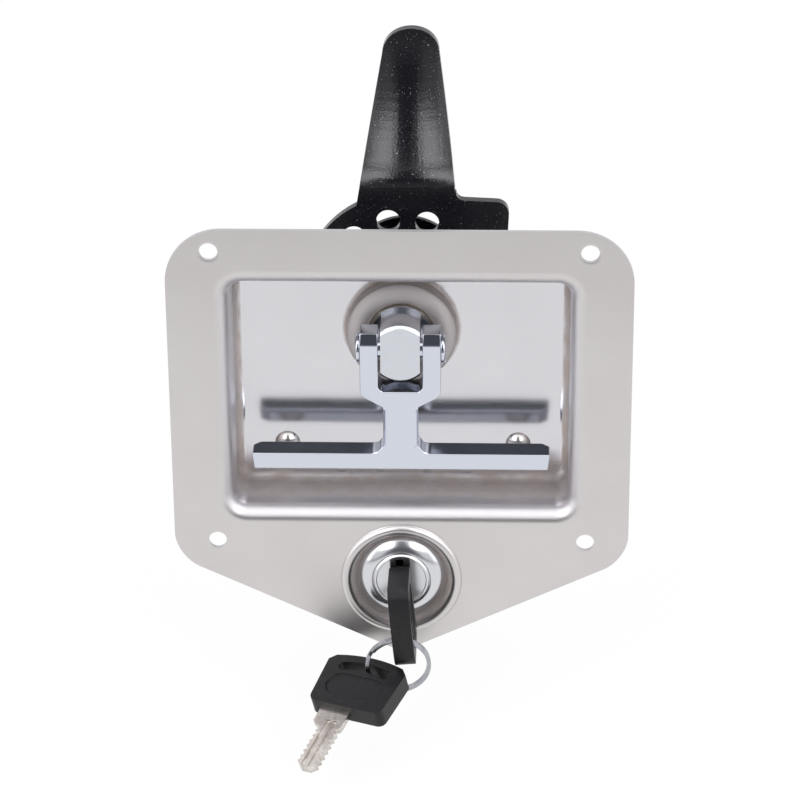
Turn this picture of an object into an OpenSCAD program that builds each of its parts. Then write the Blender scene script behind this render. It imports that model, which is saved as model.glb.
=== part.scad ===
// Trailer door latch: stamped pan with a folding T-handle, a turning cam
// with a bent finger, and a keyed plug that lifts a bar into a notched ring.
// World frame: X right, Z up, Y into the door. The origin is the middle of
// the four mounting holes on the back face of the flange.

/* [Face plate] */
// Width of the flange
plate_w = 140; // [120:1:160]
// Height of the flange edge above the hole centre
plate_top = 55.5; // [50:0.5:65]
// Depth of the sharp point of the V below the hole centre
plate_point = 87.8; // [82:0.2:100]
// Slope of the two V edges in degrees
plate_slope = 25.6; // [20:0.2:30]
// Sheet thickness of the plate, the pan and the guide strap
sheet = 1.5; // [1:0.1:2]
// Radius of the upper corners
top_corner_r = 17; // [10:0.5:20]
// Radius of the corners between the sides and the V
side_corner_r = 13; // [8:0.5:16]
// Radius of the point of the V
point_r = 8; // [5:0.5:12]
// Distance from the flange sides in to the mounting holes
hole_inset = 13.25; // [11:0.25:16]
// Mounting hole spacing up and down
hole_dz = 97; // [94:0.5:100]
// Mounting hole diameter
hole_d = 5.6; // [4.5:0.1:6.5]

/* [Pan] */
// Inside width between the pan walls
pan_w = 103; // [100:0.5:105]
// Inside height between the pan walls
pan_h = 75; // [72:0.5:77]
// Height of the pan centre above the hole centre
pan_z = 0; // [-1:0.1:1]
// Depth from the flange front to the pan floor
pan_depth = 22; // [21.5:0.1:24]
// Corner radius of the pan in plan
pan_corner_r = 4.5; // [4:0.25:7]
// Front radius of the rolled lip
lip_r = 5; // [4:0.1:5.6]
// Inside radius between the walls and the floor
floor_r = 3; // [2:0.1:3.6]

/* [Spindle boss] */
// Height of the spindle axis above the hole centre
spindle_z = 14; // [12:0.5:16]
// Outer radius of the raised boss
boss_r = 16.8; // [16.2:0.2:18]
// Radius of the round crown of the boss
crown_r = 5; // [4.6:0.1:5.4]
// Height of the boss above the pan floor
boss_h = 6.3; // [5.5:0.1:6.5]

/* [Spindle and handle] */
// Spindle head diameter
spindle_d = 18.6; // [18:0.2:19]
// Distance between the two flats of the spindle head
flat_w = 12; // [11.6:0.1:12.6]
// Depth of the flush handle front below the flange front
handle_sunk = 2.5; // [1.5:0.1:2.8]
// Distance from the handle front back to the hinge pin
pin_back = 5; // [4.6:0.1:5.4]
// Hinge pin diameter
pin_d = 6; // [5:0.1:6.5]
// Hinge pin head diameter
pin_head_d = 9; // [8:0.1:10]
// Hinge pin head thickness
pin_head_t = 1.4; // [1:0.1:1.8]
// Width over the fork of the handle
fork_w = 24.6; // [24:0.2:25.4]
// Gap between the spindle flats and the fork on each side
fork_gap = 0.75; // [0.5:0.05:0.9]
// Height of the fork ears above the pin
ear_h = 6.3; // [5.8:0.1:6.5]
// Length of the sloped facet at the top front of each ear
facet_l = 3.4; // [2.6:0.1:3.8]
// Depth of that facet at the top of the ear
facet_d = 1.3; // [1:0.1:1.6]
// Drop from the pin to the slot bottom
slot_drop = 12.6; // [12:0.1:13.4]
// Drop from the pin to the bar centre
bar_drop = 36.2; // [35:0.2:37]
// Full length of the cross bar
bar_w = 91.2; // [86:0.2:92]
// Cut on the back of each bar end that clears the pan when the handle turns
bar_end_cut = 3; // [2.4:0.1:3.6]
// Height of the front facet of the cross bar
bar_h = 5.2; // [4.6:0.1:6]
// Depth of the cross bar, front to back
bar_t = 9; // [7:0.1:10]
// Width of the handle stem
stem_w = 10.8; // [9:0.1:12]
// Depth of the handle stem, front to back
stem_t = 8; // [6:0.1:8.5]
// Radial running fit of shafts and pins
run_fit = 0.05; // [0.03:0.01:0.09]

/* [Rear stack] */
// Thickness of the notched ring
ring_t = 3.5; // [3:0.1:4]
// Radius of the notched ring
ring_r = 20; // [19:0.2:22]
// Side of the square part of the spindle
square_w = 12; // [11:0.1:13]
// Distance from the flange front back to the cam front
cam_back = 51.5; // [50:0.5:54]
// Cam plate thickness
cam_t = 3.2; // [2.8:0.1:4]
// Cam disc radius
cam_r = 31.8; // [30:0.2:33]
// Radius of the ring of twelve setting holes
cam_hole_circle = 23.4; // [22.8:0.1:24]
// Diameter of each setting hole
cam_hole_d = 7.6; // [7:0.1:8]
// Turn of the cam and its drive pin from square in degrees
cam_turn = -2.6; // [-4:0.2:0]
// Width of the square stop corner from the axis
tab_x = 31.4; // [30:0.2:33]
// Height of the square stop corner above the axis
tab_z = 30.8; // [29:0.2:32]
// Height of the finger tip above the axis
finger_h = 82.7; // [78:0.5:90]
// Half width of the finger near its tip
finger_tip_r = 8.9; // [8:0.1:10]
// Lean of the finger tip behind the cam front
tip_back = 13; // [11:0.5:15]
// Radius of the end washer
end_washer_r = 18.2; // [17:0.2:19]
// Diameter of the spindle tail
tail_d = 12; // [11:0.1:12.6]

/* [Lock] */
// Drop from the hole centre to the lock axis
lock_drop = 61.6; // [60:0.2:63]
// Crest radius of the raised bead round the lock
bead_r = 17.1; // [16.5:0.1:17.4]
// Radius of the round on the bead
bead_round = 1.8; // [1.4:0.1:1.9]
// Depth of the dish floor below the flange front
dish_depth = 2.6; // [2:0.1:3.4]
// Bezel radius
bezel_r = 13.6; // [13:0.1:13.8]
// Radius of the round front of the bezel
bezel_round = 6.75; // [6.4:0.05:7.2]
// Lock body radius behind the plate
body_r = 11; // [10.4:0.1:11.6]
// Plug radius
plug_r = 8.9; // [8.4:0.1:9.2]
// Throw of the crank pin
crank_r = 6; // [5.4:0.1:6.4]
// Crank pin diameter
crank_pin_d = 4; // [3.6:0.1:4.4]
// Width of the lock bar
bar_strip_w = 14; // [13:0.5:15]
// Thickness of the lock bar
bar_strip_t = 2.5; // [2:0.1:3]
// Half distance between the two strap rivets
rivet_x = 35.9; // [34:0.1:37]
// Height of the rivets, below the hole centre
rivet_drop = 25.5; // [24:0.5:27]
// Rivet head diameter
rivet_head_d = 7.8; // [7:0.1:9]

/* [Keys] */
// Width of a key head
head_w = 27; // [25:0.5:28]
// Length of a key head along its blade
head_l = 20.5; // [19:0.5:22]
// Thickness of a key head
head_t = 6.4; // [5.6:0.1:6.8]
// Key blade thickness
blade_t = 2.2; // [1.8:0.1:2.4]
// Key blade width
blade_w = 7.6; // [7.2:0.1:8]
// Key blade length outside the head
blade_l = 24; // [22:0.5:25]
// Split ring outside diameter
key_ring_d = 20.4; // [19.6:0.1:21]
// Tilt of the inserted key about the lock axis in degrees
key_lean = 5; // [0:0.5:6]

/* [Hidden] */
$fn = 64;
// small step for clean cuts
eps = 0.01;
// flat-to-flat gap between moving faces
face_gap = 0.3;
// depths are heights toward the viewer, with the flange back at zero
floor_front = sheet - pan_depth;
floor_back = floor_front - sheet;
hole_dx = plate_w - 2 * hole_inset;
half_pan_x = pan_w / 2;
half_pan_z = pan_h / 2;
boss_crest = floor_front + boss_h;
crown_centre_h = boss_crest - crown_r;
crown_centre_r = boss_r - crown_r * 0.72;
handle_front = sheet - handle_sunk;
pin_h = handle_front - pin_back;
spindle_r = spindle_d / 2;
pin_r = pin_d / 2;
// the ears reach as far behind the pin as in front of it
ear_back = pin_back;
ear_cut = 1.6;
spindle_bevel = 0.8;
fork_slot_w = flat_w + 2 * fork_gap;
bush_wall = 1.05;
bush_r = spindle_r + run_fit + bush_wall;
bush_front = boss_crest;
bush_flange_t = 1.5;
boss_hole_r = bush_r + 0.1;
// the flange of the bush seats on the inner edge of the boss
bush_back = crown_centre_h
    + sqrt(max(0, pow(crown_r - sheet, 2) - pow(crown_centre_r - boss_hole_r, 2))) - 0.05;
// the flats run past the collar a little way into the bush
flat_end = bush_front - 2;
bush_end = bush_back - bush_flange_t;
collar_t = 1;
collar_h = bush_front + face_gap;
cam_front = sheet - cam_back;
cam_rear = cam_front - cam_t;
drive_t = 3;
drive_front = cam_front + drive_t + 0.1;
tail_r = tail_d / 2;
spring_t = 1.2;
spring_rise = 1.6;
spring_n = 4;
spring_len = spring_n * (spring_t + spring_rise);
spring_front = cam_rear - 0.1;
end_washer_front = spring_front - spring_len - 0.1;
end_washer_t = 2;
spring_r = tail_r + 6;
nut_front = end_washer_front - end_washer_t - 0.1;
nut_t = 7;
nut_w = 19;
tail_end = nut_front - nut_t - 3;
// finger: a crease above the stop corner, then a lean back to the tip
finger_root = tab_z + 3.4;
lean_r = (pow(finger_h + 2 - finger_root, 2) + pow(tip_back, 2)) / (2 * tip_back);
tab_r = 4;
tip_x = 1.8;
tip_z = finger_h - finger_tip_r;
tip_side = finger_tip_r - 0.15;
root_left = -15.2;
root_right = 16.2;
root_low = tab_z - 4.4;
root_fillet = 2.4;
// height of the stop corner's upper edge where the finger starts
root_z = tab_z * cos(cam_turn) + root_right * sin(cam_turn);
// lock depths
dish_front = sheet - dish_depth;
dish_back = dish_front - sheet;
body_hole_r = body_r + 0.2;
body_back = -25;
plug_face = sheet + 1.3;
bore_r = plug_r + run_fit;
crank_t = 2.5;
crank_front = body_back - 0.4;
crank_back = crank_front - crank_t;
bar_front = min(crank_back - 0.5, floor_back - 0.4);
bar_back = bar_front - bar_strip_t;
// the ring lies in the path of the lock bar
ring_front = min(bush_end - 1.2, floor_back - face_gap, bar_front + 0.1);
ring_back = ring_front - ring_t;
sleeve_front = bush_end - 0.1;
sleeve_back = ring_front + 0.1;
bar_foot_h = bar_strip_w + 2;
bar_foot_w = bar_strip_w * 0.36;
throw_half = crank_r * sin(45);
bar_stroke = 2 * throw_half;
yoke_slot_gap = 0.35;
bar_top_gap = 1.4;
bar_top = spindle_z - ring_r - bar_top_gap;
lock_z = -lock_drop;
notch_w = bar_strip_w + 2 * 0.5;
notch_r = ring_r + bar_top_gap - bar_stroke - 0.6;
rivet_z = -rivet_drop;
rivet_r = 2;
rivet_head_h = 2.2;
// keys
head_half = head_w / 2;
blade_off = 2.1;
stub = 6;
shank_l = 4.5;
shank_up = 2.2;
keyway_clear = 0.12;
key_front_gap = 0.7;
head_back = plug_face + key_front_gap;
key_z_off = min(head_half - 6.3 - blade_off, plug_r - blade_w / 2 - 0.75);
slot_w = 3.2;
slot_edge = 2.6;
slot_arc_r = 26;
wire_t = 0.85;
wire_w = 1.3;
ring_mid_r = key_ring_d / 2 - wire_w / 2;
// place of the ring in the slot of the inserted key, and its turn there
hook_drop = 5.29;
ring_turn = [-86.5, -15.4, 5.9];
// place of the spare key on the ring, and its turn there
spare_round = 125;
spare_shift = 0.82;
spare_turn = [-100.9, 29, -19];
// middle of the head slot at a distance from the middle of the head
function slot_mid_y(x) = head_l - slot_edge - slot_w / 2 - slot_arc_r
    + sqrt(pow(slot_arc_r, 2) - pow(x, 2));

// Puts a shape drawn in the front view (x, up, toward the viewer) in the world.
module front() {
    rotate([90, 0, 0]) children();
}

// Puts a shape on the spindle axis.
module on_spindle() {
    front() translate([0, spindle_z, 0]) children();
}

// Puts a shape on the lock axis.
module on_lock() {
    front() translate([0, lock_z, 0]) children();
}

// A ring between two heights.
module tube(r_out, r_in, h_low, h_high) {
    translate([0, 0, h_low]) difference() {
        cylinder(r = r_out, h = h_high - h_low);
        translate([0, 0, -1]) cylinder(r = r_in, h = h_high - h_low + 2);
    }
}

// A disc between two heights.
module disc(r, h_low, h_high) {
    translate([0, 0, h_low]) cylinder(r = r, h = h_high - h_low);
}

// Direction from point a to point b.
function toward(a, b) = (b - a) / norm(b - a);
// Length cut from each edge by a round corner.
function cut_back(p, a, b, r) = r / tan(acos(toward(p, a) * toward(p, b)) / 2);
// Centre of a round corner.
function corner_centre(p, a, b, r) =
    p + (toward(p, a) + toward(p, b)) / norm(toward(p, a) + toward(p, b))
    * r / sin(acos(toward(p, a) * toward(p, b)) / 2);

// A convex outline with its own radius at each corner.
module round_outline(pts, radii) {
    n = len(pts);
    polygon([for (i = [0 : n - 1]) for (k = [0, 1])
        let (p = pts[i], a = pts[(i + n - 1) % n], b = pts[(i + 1) % n],
             c = cut_back(p, a, b, radii[i]))
        p + c * toward(p, k == 0 ? a : b)]);
    for (i = [0 : n - 1])
        translate(corner_centre(pts[i], pts[(i + n - 1) % n], pts[(i + 1) % n], radii[i]))
            circle(radii[i]);
}

// A rectangle with round corners.
module round_rect(w, h, r) {
    square([w - 2 * r, h], center = true);
    square([w, h - 2 * r], center = true);
    for (x = [-1, 1]) for (y = [-1, 1])
        translate([x * (w / 2 - r), y * (h / 2 - r)]) circle(r);
}

// A quarter of a ring in the quadrant given by sx and sy.
module quarter_ring(r_out, r_in, sx, sy) {
    intersection() {
        difference() {
            circle(r_out);
            circle(r_in);
        }
        translate([sx > 0 ? 0 : -r_out, sy > 0 ? 0 : -r_out]) square(r_out);
    }
}

// Sheet section of the pan, from the flange round the lip down to the floor.
module pan_section() {
    lip_h = sheet - lip_r;
    translate([pan_corner_r + lip_r, lip_h]) quarter_ring(lip_r, lip_r - sheet, -1, 1);
    translate([pan_corner_r, floor_front + floor_r])
        square([sheet, lip_h - floor_front - floor_r]);
    translate([pan_corner_r - floor_r, floor_front + floor_r])
        quarter_ring(floor_r + sheet, floor_r, 1, -1);
    translate([0, floor_back]) square([pan_corner_r - floor_r, sheet]);
}

// The pan: one section run along four sides and round four corners.
module pan() {
    long_x = half_pan_x - pan_corner_r;
    long_z = half_pan_z - pan_corner_r;
    for (k = [0 : 3]) {
        across = k % 2 == 0 ? long_x : long_z;
        along = k % 2 == 0 ? long_z : long_x;
        rotate([0, 0, 90 * k]) translate([across, along, 0]) {
            rotate([90, 0, 0]) linear_extrude(2 * along) pan_section();
            rotate_extrude(angle = 90) pan_section();
        }
    }
    translate([-long_x, -long_z, floor_back]) cube([2 * long_x, 2 * long_z, sheet]);
}

// Section of the raised boss round the spindle.
module boss_section() {
    edge_h = crown_centre_h + sqrt(pow(crown_r, 2) - pow(boss_r - crown_centre_r, 2));
    intersection() {
        translate([crown_centre_r, crown_centre_h]) difference() {
            circle(crown_r);
            circle(crown_r - sheet);
        }
        translate([boss_hole_r, bush_back]) square([boss_r - boss_hole_r, crown_r]);
    }
    translate([boss_r - sheet, floor_back]) square([sheet, edge_h - floor_back]);
}

// Section of the bead and dish round the lock.
module dish_section() {
    polygon([[bead_r, sheet], [bead_r - 1.5, sheet + 0.7], [bezel_r + 0.4, dish_front],
             [body_hole_r, dish_front], [body_hole_r, dish_back], [bezel_r + 1.3, dish_back],
             [bead_r - 0.5, 0], [bead_r + bead_round + 0.1, 0],
             [bead_r + bead_round + 0.1, sheet]]);
    intersection() {
        translate([bead_r, sheet - 0.2]) circle(bead_round);
        translate([bead_r - bead_round, 0.2]) square(2 * bead_round);
    }
}

// Outline of the flange with its V-shaped lower edge.
module plate_outline() {
    half = plate_w / 2;
    side_z = -plate_point + half * tan(plate_slope);
    round_outline([[half, plate_top], [-half, plate_top], [-half, side_z],
                   [0, -plate_point], [half, side_z]],
                  [top_corner_r, top_corner_r, side_corner_r, point_r, side_corner_r]);
}

// Stamped plate with the pan, both bosses and the four mounting holes.
module face_plate() {
    color([0.78, 0.78, 0.77]) front() {
        linear_extrude(sheet) difference() {
            plate_outline();
            translate([0, pan_z])
                round_rect(pan_w + 2 * lip_r, pan_h + 2 * lip_r, pan_corner_r + lip_r);
            translate([0, lock_z]) circle(bead_r + bead_round - 0.2);
            for (x = [-1, 1]) for (y = [-1, 1])
                translate([x * hole_dx / 2, y * hole_dz / 2]) circle(d = hole_d);
        }
        difference() {
            translate([0, pan_z, 0]) pan();
            translate([0, spindle_z, floor_back - 1]) cylinder(r = boss_r - sheet, h = sheet + 2);
            for (x = [-1, 1]) translate([x * rivet_x, rivet_z, floor_back - 1])
                cylinder(r = rivet_r + run_fit, h = sheet + 2);
        }
        translate([0, spindle_z, 0]) rotate_extrude() boss_section();
        translate([0, lock_z, 0]) rotate_extrude() dish_section();
    }
}

// Flanged bush pressed into the boss from behind.
module spindle_bushing() {
    color([0.72, 0.6, 0.36]) on_spindle() {
        tube(bush_r, spindle_r + run_fit, bush_back - eps, bush_front);
        tube(boss_r - sheet - 1.2, spindle_r + run_fit, bush_end, bush_back);
    }
}

// Spindle: flatted head, collar, square and tail.
module spindle() {
    color([0.83, 0.84, 0.85]) on_spindle() difference() {
        union() {
            rotate_extrude() polygon([[0, handle_front], [spindle_r - spindle_bevel, handle_front],
                [spindle_r, handle_front - spindle_bevel], [spindle_r, collar_h + collar_t],
                [bush_r, collar_h + collar_t], [bush_r, collar_h], [spindle_r, collar_h],
                [spindle_r, ring_front + 0.1], [0, ring_front + 0.1]]);
            translate([-square_w / 2, -square_w / 2, cam_front - 0.4])
                cube([square_w, square_w, ring_front + 0.2 - cam_front + 0.4]);
            disc(tail_r, tail_end, cam_front);
        }
        for (x = [-1, 1]) translate([x * (flat_w / 2 + 10), 0, flat_end + 15])
            cube([20, 30, 30], center = true);
        translate([0, 0, cam_front - 5]) difference() {
            cube([40, 40, 10], center = true);
            translate([0, 0, -6]) cylinder(r = tail_r, h = 12);
        }
        translate([0, 0, pin_h]) rotate([0, 90, 0])
            cylinder(r = pin_r + run_fit, h = 40, center = true);
    }
}

// Sleeve between the bush and the notched ring.
module thrust_sleeve() {
    color([0.7, 0.7, 0.68]) on_spindle()
        tube(spindle_r + 2.6, spindle_r + 0.1, sleeve_back, sleeve_front);
}

// Flat plate with a square hole on the spindle.
module square_hole(h_low, h_high) {
    w = square_w + 2 * run_fit;
    translate([-w / 2, -w / 2, h_low - 1]) cube([w, w, h_high - h_low + 2]);
}

// Ring with two notches, a quarter turn apart, for the lock bar.
module notched_ring() {
    color([0.45, 0.46, 0.48]) on_spindle() difference() {
        disc(ring_r, ring_back, ring_front);
        square_hole(ring_back, ring_front);
        for (turn = [-90, 0]) rotate([0, 0, turn])
            translate([notch_r, -notch_w / 2, ring_back - 1]) cube([ring_r, notch_w, ring_t + 2]);
    }
}

// Sleeve that keeps the notched ring and the drive plate apart.
module spacer_sleeve() {
    color([0.66, 0.66, 0.64]) on_spindle() difference() {
        disc(square_w * 0.95, drive_front + 0.1, ring_back - 0.1);
        square_hole(drive_front, ring_back);
    }
}

// Drive plate with an ear that carries the pin for the cam.
module drive_plate() {
    color([0.5, 0.5, 0.52]) on_spindle() difference() {
        translate([0, 0, drive_front - drive_t]) linear_extrude(drive_t) {
            circle(cam_hole_circle * 0.7);
            rotate([0, 0, cam_turn - 75]) {
                translate([0, -cam_hole_d * 0.8]) square([cam_hole_circle, cam_hole_d * 1.6]);
                translate([cam_hole_circle, 0]) circle(cam_hole_d * 0.8);
            }
        }
        square_hole(drive_front - drive_t, drive_front);
        rotate([0, 0, cam_turn - 75]) translate([cam_hole_circle, 0, drive_front - drive_t - 1])
            cylinder(r = cam_hole_d * 0.3, h = drive_t + 2);
    }
}

// Pin that joins the drive plate to one of the setting holes.
module drive_pin() {
    color([0.75, 0.75, 0.74]) on_spindle() rotate([0, 0, cam_turn - 75])
        translate([cam_hole_circle, 0, 0]) {
            disc(cam_hole_d * 0.3 - run_fit, drive_front - drive_t - eps, drive_front);
            disc(cam_hole_d / 2 - 0.1, cam_rear + 0.4, drive_front - drive_t);
        }
}

// Outline of the finger seen from the front.
module finger_outline() {
    polygon([[root_left, root_low], [tip_x - tip_side, tip_z + 1.2],
             [tip_x + tip_side, tip_z + 1.2], [root_right, tab_z - 1], [root_right, root_low]]);
    translate([tip_x, tip_z]) circle(finger_tip_r);
}

// Curved finger: a leaning shell turned about an upright axis behind it.
module finger() {
    axis_back = 60;
    reach = tip_back + 2 * cam_t;
    intersection() {
        translate([0, 0, cam_front - axis_back]) rotate([-90, 0, 0])
            rotate_extrude(angle = 60, start = 240) intersection() {
                translate([axis_back - tip_back + lean_r, finger_h + 2]) difference() {
                    circle(lean_r + cam_t, $fn = 160);
                    circle(lean_r, $fn = 160);
                }
                translate([axis_back - reach, root_low]) square([reach, finger_h]);
            }
        translate([0, 0, cam_front - 2 * reach]) linear_extrude(2 * reach) finger_outline();
    }
}

// Cam: disc with twelve setting holes, a square stop corner and the finger.
module cam_plate() {
    color([0.06, 0.06, 0.065]) on_spindle() {
        translate([0, 0, cam_rear]) linear_extrude(cam_t) difference() {
            union() {
                circle(cam_r);
                rotate([0, 0, cam_turn]) {
                    square([tab_x - tab_r, tab_z]);
                    square([tab_x, tab_z - tab_r]);
                    translate([tab_x - tab_r, tab_z - tab_r]) circle(tab_r);
                }
                intersection() {
                    finger_outline();
                    translate([-cam_r, root_low]) square([2 * cam_r, finger_root - root_low]);
                }
                translate([root_right, root_z]) difference() {
                    translate([-1, -1]) square(root_fillet + 1);
                    translate([root_fillet, root_fillet]) circle(root_fillet);
                }
            }
            circle(tail_r + run_fit);
            for (i = [0 : 11]) rotate([0, 0, cam_turn + 15 + 30 * i])
                translate([cam_hole_circle, 0]) circle(d = cam_hole_d);
        }
        finger();
    }
}

// One disc spring, a shallow cone.
module cone_spring(r_in, r_out) {
    rotate_extrude() polygon([[r_in, 0], [r_out, -spring_rise], [r_out, -spring_rise - spring_t],
                              [r_in, -spring_t]]);
}

// Four disc springs that press the cam on to the drive plate.
module disc_springs() {
    color([0.4, 0.41, 0.44]) on_spindle() for (i = [0 : spring_n / 2 - 1]) {
        step = spring_len * 2 / spring_n;
        h = spring_front - i * step;
        translate([0, 0, h]) cone_spring(tail_r + 0.3, spring_r);
        translate([0, 0, h - step]) mirror([0, 0, 1]) cone_spring(tail_r + 0.3, spring_r);
    }
}

// Washer behind the springs.
module end_washer() {
    color([0.08, 0.08, 0.085]) on_spindle()
        tube(end_washer_r, tail_r + 0.1, end_washer_front - end_washer_t, end_washer_front);
}

// Six-sided nut on the spindle tail.
module spindle_nut() {
    color([0.7, 0.71, 0.72]) on_spindle() difference() {
        intersection() {
            translate([0, 0, nut_front - nut_t]) cylinder(d = nut_w / cos(30), h = nut_t, $fn = 6);
            rotate_extrude() polygon([[0, nut_front], [nut_w / 2 + 0.6, nut_front],
                [nut_w / 2 + 2, nut_front - 0.8], [nut_w / 2 + 2, nut_front - nut_t + 0.8],
                [nut_w / 2 + 0.6, nut_front - nut_t], [0, nut_front - nut_t]]);
        }
        disc(tail_r + run_fit, nut_front - nut_t - 1, nut_front + 1);
    }
}

// Right half of the front outline of the T-handle, from the ear down to the bar.
function handle_half(half, neck, low, flare) = concat(
    [[half, ear_h], [half, -slot_drop - 0.6], [half - 1.2, -slot_drop - 2],
     [neck, -slot_drop - 5.2]],
    [for (a = [180 : 10 : 270])
        [neck + flare * (1 + cos(a)), flare * (1 + sin(a)) - low]],
    [[bar_w / 2, -low], [bar_w / 2 - 0.6, -low - bar_h]]);

// Front outline of the T-handle, with the pin as its centre.
module handle_outline() {
    right = handle_half(fork_w / 2, stem_w / 2, bar_drop - bar_h / 2, 4);
    last = len(right) - 1;
    difference() {
        polygon(concat(right, [for (i = [last : -1 : 0]) [-right[i][0], right[i][1]]]));
        translate([-fork_slot_w / 2, -slot_drop + 2]) square([fork_slot_w, 40]);
        translate([-fork_slot_w / 2 + 2, -slot_drop]) square([fork_slot_w - 4, 10]);
        for (x = [-1, 1]) translate([x * (fork_slot_w / 2 - 2), -slot_drop + 2]) circle(2);
    }
}

// Side outline of the T-handle: x is height from the pin, y is depth.
module handle_side() {
    low = bar_drop - bar_h / 2;
    back = pin_h - ear_back;
    front_h = handle_front;
    stem_back = front_h - stem_t;
    polygon([[ear_h, front_h - facet_d], [ear_h - facet_l, front_h],
             [-bar_drop - bar_h / 2, front_h],
             [-bar_drop - bar_h / 2 + 1.1, front_h - bar_t],
             [-low - 0.7, front_h - bar_t], [-low + 0.6, front_h - bar_t + 1.6],
             [-low + 3, stem_back], [-slot_drop - 3, stem_back], [-slot_drop + 1, back],
             [ear_h - ear_cut, back], [ear_h, back + ear_cut]]);
}

// Folding T-handle with a forked head.
module t_handle() {
    neck = stem_w / 2;
    bevel = 1.15;
    color([0.83, 0.84, 0.86]) on_spindle() difference() {
        intersection() {
            translate([0, 0, handle_front - 20]) linear_extrude(22) handle_outline();
            translate([-bar_w / 2 - 1, 0, 0]) rotate([90, 0, 90])
                linear_extrude(bar_w + 2) handle_side();
        }
        translate([0, 0, pin_h]) rotate([0, 90, 0])
            cylinder(r = pin_r + 0.02, h = 60, center = true);
        for (x = [-1, 1]) translate([x * neck, -slot_drop - 5.2 - 7, handle_front])
            rotate([0, 45, 0]) cube([bevel * sqrt(2), 12, bevel * sqrt(2)], center = true);
        for (x = [-1, 1]) translate([x * bar_w / 2, -bar_drop, handle_front - bar_t])
            rotate([0, 45, 0]) cube([bar_end_cut * sqrt(2), 12, bar_end_cut * sqrt(2)], center = true);
    }
}

// Headed pin through the fork and the spindle head.
module hinge_pin() {
    half = fork_w / 2 + 0.05;
    color([0.76, 0.77, 0.78]) on_spindle() translate([0, 0, pin_h]) rotate([0, 90, 0]) {
        cylinder(r = pin_r, h = 2 * half + eps, center = true);
        for (side = [-1, 1]) rotate([side > 0 ? 0 : 180, 0, 0]) translate([0, 0, half])
            rotate_extrude() polygon([[0, 0], [pin_head_d / 2, 0], [pin_head_d / 2, pin_head_t - 0.5],
                                      [pin_head_d / 2 - 0.5, pin_head_t], [0, pin_head_t]]);
    }
}

// Strap riveted behind the pan floor: a folded tunnel that guides the lock bar.
module guide_strap() {
    strap_h = bar_strip_w;
    foot = rivet_x + 6;
    inner = bar_strip_w / 2 + face_gap + 0.1;
    outer = inner + sheet;
    near = bar_front + face_gap + 0.1;
    far = bar_back - face_gap - 0.1;
    color([0.7, 0.7, 0.7]) front() translate([0, rivet_z, 0]) difference() {
        translate([0, strap_h / 2, 0]) rotate([90, 0, 0]) linear_extrude(strap_h) difference() {
            union() {
                translate([-foot, floor_back - sheet]) square([2 * foot, sheet]);
                translate([-outer, far - sheet]) square([2 * outer, floor_back - far + sheet]);
            }
            translate([-inner, far]) square([2 * inner, near - far]);
            translate([-inner, near + sheet]) square([2 * inner, floor_back - near]);
        }
        for (x = [-1, 1]) translate([x * rivet_x, 0, floor_back - sheet - 1])
            cylinder(r = rivet_r + run_fit, h = sheet + 2);
    }
}

// Dome-headed rivet with a flat set tail.
module rivet(x) {
    cap_r = (pow(rivet_head_d / 2, 2) + pow(rivet_head_h, 2)) / (2 * rivet_head_h);
    color([0.74, 0.74, 0.73]) front() translate([x, rivet_z, 0]) {
        disc(rivet_r, floor_back - sheet - eps, floor_front + eps);
        translate([0, 0, floor_front]) intersection() {
            translate([0, 0, rivet_head_h - cap_r]) sphere(cap_r);
            cylinder(r = rivet_head_d, h = rivet_head_h + 1);
        }
        disc(rivet_r * 1.6, floor_back - sheet - 1.2, floor_back - sheet);
    }
}

module rivet_left() {
    rivet(-rivet_x);
}

module rivet_right() {
    rivet(rivet_x);
}

// Lock bar: a strip with a cross slot for the crank pin.
module lock_bar() {
    slot_mid = lock_z - throw_half;
    low = slot_mid - bar_foot_h / 2;
    slot_h = crank_pin_d + 2 * yoke_slot_gap;
    slot_x0 = -crank_r - crank_pin_d / 2 - 0.6;
    slot_x1 = -throw_half + crank_pin_d / 2 + 0.6;
    color([0.62, 0.63, 0.64]) front() translate([0, 0, bar_back]) linear_extrude(bar_strip_t)
        difference() {
            union() {
                translate([-bar_strip_w / 2, low]) square([bar_strip_w, bar_top - low]);
                translate([-bar_strip_w / 2 - bar_foot_w, low])
                    square([bar_strip_w + bar_foot_w, bar_foot_h]);
            }
            translate([slot_x0, slot_mid - slot_h / 2]) square([slot_x1 - slot_x0, slot_h]);
        }
}

// Chrome bezel and the barrel behind the plate.
module lock_body() {
    dome_front = plug_face - 0.3;
    tilt = 15;
    color([0.84, 0.85, 0.86]) on_lock() difference() {
        union() {
            rotate_extrude() intersection() {
                translate([0, dish_front]) square([bezel_r, dome_front - dish_front]);
                union() {
                    translate([bore_r + 0.35 - bezel_round * sin(tilt),
                               dome_front - bezel_round * cos(tilt)]) circle(bezel_round);
                    translate([0, dish_front]) square([bore_r, dome_front - dish_front]);
                }
            }
            disc(body_r, body_back, dish_front + eps);
        }
        translate([0, 0, body_back - 1]) cylinder(r = bore_r, h = 60);
    }
}

// Thin six-sided nut behind the dish.
module lock_nut() {
    nut_h = 4;
    color([0.72, 0.73, 0.74]) on_lock() difference() {
        translate([0, 0, dish_back - nut_h]) cylinder(d = 2.5 * body_r / cos(30), h = nut_h, $fn = 6);
        disc(body_r + run_fit, dish_back - nut_h - 1, dish_back + 1);
    }
}

// Turns a shape to the lean of the inserted key.
module leaning() {
    rotate([0, 0, key_lean]) children();
}

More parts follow.
